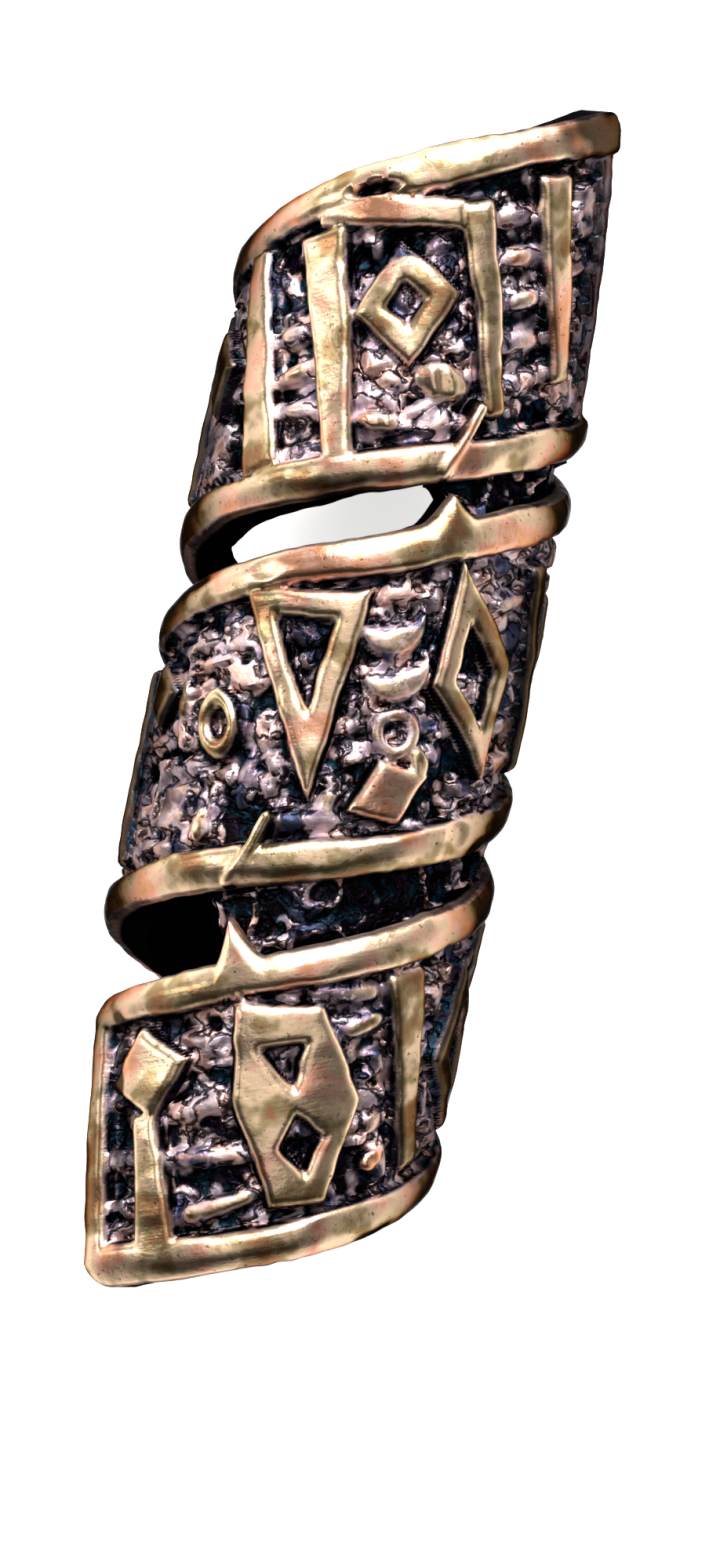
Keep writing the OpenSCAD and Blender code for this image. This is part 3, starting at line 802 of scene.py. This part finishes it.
def windingTree(material):
    tree = bpy.data.node_groups.new("windStrip", "GeometryNodeTree")
    tree.interface.new_socket("Geometry", in_out="INPUT", socket_type="NodeSocketGeometry")
    for name in [*winding, "Middle", "Axis Height"]:
        tree.interface.new_socket(name, in_out="INPUT", socket_type="NodeSocketFloat")
    tree.interface.new_socket("Geometry", in_out="OUTPUT", socket_type="NodeSocketGeometry")
    given = addNode(tree, "NodeGroupInput").outputs
    flat = addNode(tree, "GeometryNodeInputPosition")
    part = addNode(tree, "ShaderNodeSeparateXYZ", [flat]).outputs
    lift, shift, outside = [
        addNode(tree, "GeometryNodeInputNamedAttribute", {"Name": key}, data_type="FLOAT")
        for key in ("lift", "shift", "outside")]
    onPlane = addNode(tree, "ShaderNodeCombineXYZ", [part[0], part[1]])
    skin, skinRise = castSkin(tree, given, onPlane, lift, outside)

    # distance from the axis
    wall = addNode(tree, "ShaderNodeMath", [lift, given["Relief Height"], given["Ground Thickness"]],
                   operation="MULTIPLY_ADD")
    reach = addNode(tree, "ShaderNodeMath", [part[2], wall, given["Bore Radius"]],
                    operation="MULTIPLY_ADD")
    radius = addNode(tree, "ShaderNodeMath", [reach, skinRise], operation="ADD")

    # lean the flat strip by the slope, then wrap it round the axis
    leant = addNode(tree, "ShaderNodeVectorRotate", {"Vector": onPlane, "Angle": given["Slope"]},
                    rotation_type="Z_AXIS")
    leantPart = addNode(tree, "ShaderNodeSeparateXYZ", [leant]).outputs
    angle = addNode(tree, "ShaderNodeMath", [leantPart[0], given["Winding Radius"]],
                    operation="DIVIDE")
    shifted = addNode(tree, "ShaderNodeMath", [leantPart[1], shift], operation="ADD")
    centred = addNode(tree, "ShaderNodeMath", [shifted, given["Middle"]], operation="SUBTRACT")
    spoke = addNode(tree, "ShaderNodeCombineXYZ", {"Y": centred, "Z": radius})
    wound = addNode(tree, "ShaderNodeVectorRotate", {"Vector": spoke, "Angle": angle},
                    rotation_type="Y_AXIS")
    woundPart = addNode(tree, "ShaderNodeSeparateXYZ", [wound]).outputs
    facing = addNode(tree, "ShaderNodeMath", [woundPart[2], radius], operation="DIVIDE")
    # the worn flats: nothing lies below the table
    raised = addNode(tree, "ShaderNodeMath", [woundPart[2], given["Axis Height"]], operation="ADD")
    rested = addNode(tree, "ShaderNodeMath", [raised, 0.0], operation="MAXIMUM")
    target = addNode(tree, "ShaderNodeCombineXYZ", [woundPart[0], woundPart[1], rested])

    shape = given["Geometry"]
    for name, value in (("skin", skin), ("facing", facing)):
        shape = addNode(tree, "GeometryNodeStoreNamedAttribute", {
            "Geometry": shape, "Name": name, "Value": value}, data_type="FLOAT", domain="POINT")
    bent = addNode(tree, "GeometryNodeSetPosition", {"Geometry": shape, "Position": target})
    whole = addNode(tree, "GeometryNodeRealizeInstances", {"Geometry": bent})
    coated = addNode(tree, "GeometryNodeSetMaterial", {"Geometry": whole, "Material": material})
    addNode(tree, "NodeGroupOutput", {"Geometry": coated})
    return tree


def plainMesh(piece):
    # the piece's live modifiers turned into a plain mesh
    made = bpy.data.meshes.new_from_object(
        piece.evaluated_get(bpy.context.evaluated_depsgraph_get()))
    piece.modifiers.clear()
    piece.data = made


def wind(piece, tree, more):
    modifier = piece.modifiers.new("wind", "NODES")
    modifier.node_group = tree
    values = {**winding, **more}
    for item in tree.interface.items_tree:
        if item.item_type == "SOCKET" and item.in_out == "INPUT" and item.name in values:
            modifier[item.identifier] = values[item.name]
    plainMesh(piece)


# How closely the strip's columns stand: the more, the closer
columns = {
    "plain": 0.8,
    "atMarks": 1.35, "besideMarks": 0.35,
    "firstEnd": 1.3, "firstEndLong": 1.9,
    "atSpurs": 2.0, "besideSpurs": 0.2,
    "corner": [0, 0.015, 0.05, 0.1, 0.17, 0.26, 0.36, 0.48, 0.6, 0.70, 0.78, 0.86, 0.93],
}


def stripPlaces():
    # columns gather at the rounded ends and where a mark's sides cross the strip
    first, last = strip["firstCorner"], strip["lastCorner"]
    corner = np.array(columns["corner"])
    fine = np.linspace(firstS + first, lastS - last, 6000)
    density = np.full(fine.shape, columns["plain"])
    for place, _, _, _, wide, _ in marks:
        reach = wide * strip["width"] / 2 + columns["besideMarks"]
        density[np.abs(fine - firstS - place * stripLength) < reach] = columns["atMarks"]
    density[fine < firstS + columns["firstEndLong"]] = columns["firstEnd"]
    beside = columns["besideSpurs"]
    for turn, _, before, after in spurs:
        d = fine - turn * turnLength - strip["width"] / 2 * sinSlope / cosSlope
        density[(d > -before - beside) & (d < after + beside)] = columns["atSpurs"]
    walked = np.concatenate([[0], np.cumsum((density[1:] + density[:-1]) / 2 * np.diff(fine))])
    count = round(walked[-1] / strip["gridStep"])
    inner = np.interp(np.linspace(0, walked[-1], count), walked, fine)
    return np.concatenate([firstS + corner * first, inner, lastS - corner[::-1] * last])


def waverEdge(s, seed):
    (far, size), (lesser, smaller) = strip["sideWavers"]
    return far * lumps(s, s * 0, size, seed) + lesser * lumps(s, s * 0, smaller, seed + 1)


def slotCutter(middle, axisHeight):
    reach, r = (slot["long"] - slot["wide"]) / 2, slot["wide"] / 2
    outline = [(reach + r * math.cos(math.radians(a)), r * math.sin(math.radians(a)))
               for a in range(-90, 91, 12)]
    outline += [(-x, -y) for x, y in outline]
    count = len(outline)
    levels = (axisHeight - 1.3 * outerR, axisHeight)
    points = [(x * mm, y * mm, z * mm) for z in levels for x, y in outline]
    faces = [list(range(count - 1, -1, -1)), list(range(count, 2 * count))]
    faces += [(i, (i + 1) % count, count + (i + 1) % count, count + i) for i in range(count)]
    mesh = bpy.data.meshes.new("slotCutter")
    mesh.from_pydata(points, [], faces)
    midY = heightAt(slot["turn"] * turnLength, 0) + slot["rise"] - middle
    mesh.transform(Matrix.Translation((slot["midX"] * mm, midY * mm, 0))
                   @ Matrix.Rotation(math.radians(slot["tilt"]), 4, "Z"))
    cutter = bpy.data.objects.new("slotCutter", mesh)
    bpy.context.scene.collection.objects.link(cutter)
    return cutter


def webPiece(turnBelow, start, stop, index):
    edge = strip["width"] / 2 * sinSlope / cosSlope
    begin = (turnBelow + start) * turnLength + edge
    end = (turnBelow + stop) * turnLength + edge
    tip = begin - web["flare"]
    places = np.linspace(tip, end, round((end - tip) / web["step"]))
    # the web's open edge bends back along the rim above it
    swept = np.clip((places - tip) / web["flare"], 0.02, 1) ** 2
    low, high = gapLow(places), gapHigh(places)
    low = high - web["overlap"] - (high - low - web["overlap"]) * swept
    return flatBar("web" + str(index), places, low, high, web["step"], [0, 0.1, 0.2], webLift)


material = bronzeMaterial()
tree = windingTree(material)

places = stripPlaces()
half = halfAt(places)
fade = smooth(np.minimum(places - places[0], places[-1] - places) / 2)
spiralBead = flatBar(
    "spiralBead", places, -half + fade * (0.03 + waverEdge(places, 21)),
    half - fade * (0.03 + waverEdge(places, 31)), strip["gridStep"],
    [0, 0.05, 0.12, 0.22, 0.36, 0.52, 0.68, 0.80, 0.90, 1.0, 1.1, 1.2, 1.3, 1.42, 1.55],
    liftOf, spurRise(places))
print("flat strip", len(spiralBead.data.vertices), "points")

lowestY = heightAt(places, -half).min()
highestY = heightAt(places, half).max()
cadLow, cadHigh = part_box("spiral_bead")
middleY = (lowestY + highestY) / 2
axisZ = cadHigh[2] / mm - outerR
more = {"Middle": middleY * mm, "Axis Height": axisZ * mm}
wind(spiralBead, tree, more)

cutter = slotCutter(middleY, axisZ)
cut = spiralBead.modifiers.new("slot", "BOOLEAN")
cut.object, cut.operation, cut.solver = cutter, "DIFFERENCE", "MANIFOLD"
plainMesh(spiralBead)
bpy.data.objects.remove(cutter)

webPieces = [webPiece(*row, index) for index, row in enumerate(webs)]
for piece in webPieces:
    wind(piece, tree, more)
with bpy.context.temp_override(active_object=spiralBead, object=spiralBead,
                               selected_editable_objects=[spiralBead, *webPieces]):
    bpy.ops.object.join()
spiralBead.data.shade_smooth()
spiralBead.data.set_sharp_from_angle(angle=math.radians(65))
triangles = sum(len(p.vertices) - 2 for p in spiralBead.data.polygons)
print("wound, slotted and webbed", triangles, "triangles", len(spiralBead.data.materials), "materials")

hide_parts("spiral_bead")
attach(spiralBead, "root")

# Photograph's view: straight down on the lying bead, with the picture turned on the bead
view = {"distance": 110.7, "pictureHeight": 49.2, "roll": 11.5, "aimX": 0.98, "aimY": -2.67}
studio = {"floor": "#f4f4f3", "floorGlow": 0.8, "floorSize": 6000.0,
          "zenith": "#48484a", "horizon": "#fbfbfb", "behind": "#161412"}
# place and size in millimetres, power in watts, colour
lights = [
    ("topSoftbox", (-30, 270, 200), (260, 240), 3.3, "#f1f4ff"),
    ("overhead", (20, 40, 430), (420, 300), 0.42, "#ffffff"),
    ("spark", (-20, 165, 400), (140, 60), 0.24, "#f4f6ff"),
    ("leftStrip", (-280, 30, 170), (50, 220), 0.25, "#ffffff"),
]


def makeCamera():
    camera = bpy.data.objects.new("camera", bpy.data.cameras.new("camera"))
    camera.data.sensor_width = 36
    camera.data.lens = 36 * view["distance"] / view["pictureHeight"]
    camera.data.clip_start, camera.data.clip_end = 0.005, 10
    camera.matrix_world = (
        Matrix.Translation((view["aimX"] * mm, view["aimY"] * mm, (axisZ + view["distance"]) * mm))
        @ Matrix.Rotation(math.radians(view["roll"]), 4, "Z"))
    bpy.context.scene.collection.objects.link(camera)
    bpy.context.scene.camera = camera


def makeFloor():
    # matt white card that glows faintly, so that the bead's shadow stays soft
    size = studio["floorSize"] * mm / 2
    mesh = bpy.data.meshes.new("floor")
    mesh.from_pydata([(-size, -size, 0), (size, -size, 0), (size, size, 0), (-size, size, 0)], [],
                     [(0, 1, 2, 3)])
    floor = bpy.data.objects.new("floor", mesh)
    made = bpy.data.materials.new("paleFloor")
    made.use_nodes = True
    shader = made.node_tree.nodes["Principled BSDF"]
    shader.inputs["Base Color"].default_value = hexColor(studio["floor"])
    shader.inputs["Roughness"].default_value = 0.9
    shader.inputs["Emission Color"].default_value = hexColor(studio["floor"])
    shader.inputs["Emission Strength"].default_value = studio["floorGlow"]
    mesh.materials.append(made)
    bpy.context.scene.collection.objects.link(floor)


def makeLight(name, place, size, power, colour):
    light = bpy.data.lights.new(name, "AREA")
    light.shape, light.size, light.size_y = "RECTANGLE", size[0] * mm, size[1] * mm
    light.energy = power
    light.color = hexColor(colour)[:3]
    lamp = bpy.data.objects.new(name, light)
    lamp.location = Vector(place) * mm
    lamp.rotation_mode = "QUATERNION"
    lamp.rotation_quaternion = (-lamp.location).to_track_quat("-Z", "Y")
    bpy.context.scene.collection.objects.link(lamp)


def makeWorld():
    # a grey ceiling over a pale horizon
    world = bpy.data.worlds.new("studio")
    world.use_nodes = True
    tree = world.node_tree
    tree.nodes.clear()
    direction = addNode(tree, "ShaderNodeTexCoord").outputs["Generated"]
    part = addNode(tree, "ShaderNodeSeparateXYZ", [direction]).outputs
    sky = addNode(tree, "ShaderNodeValToRGB", [part[2]], stops=[
        (0.10, studio["horizon"]), (0.75, studio["zenith"])])
    # a black curtain high up on the side away from the window
    away = addNode(tree, "ShaderNodeMapRange", [part[1], 0.05, -0.45])
    high = addNode(tree, "ShaderNodeMapRange", [part[2], 0.22, 0.45])
    curtain = addNode(tree, "ShaderNodeMath", [away, high], operation="MULTIPLY")
    room = addNode(tree, "ShaderNodeMix", [curtain, sky, hexColor(studio["behind"])],
                   data_type="RGBA")
    background = addNode(tree, "ShaderNodeBackground", {"Color": room, "Strength": 1.0})
    addNode(tree, "ShaderNodeOutputWorld", {"Surface": background})
    bpy.context.scene.world = world


makeCamera()
makeFloor()
for row in lights:
    makeLight(*row)
makeWorld()
bpy.context.scene.view_settings.view_transform = "Standard"
print("studio ready")
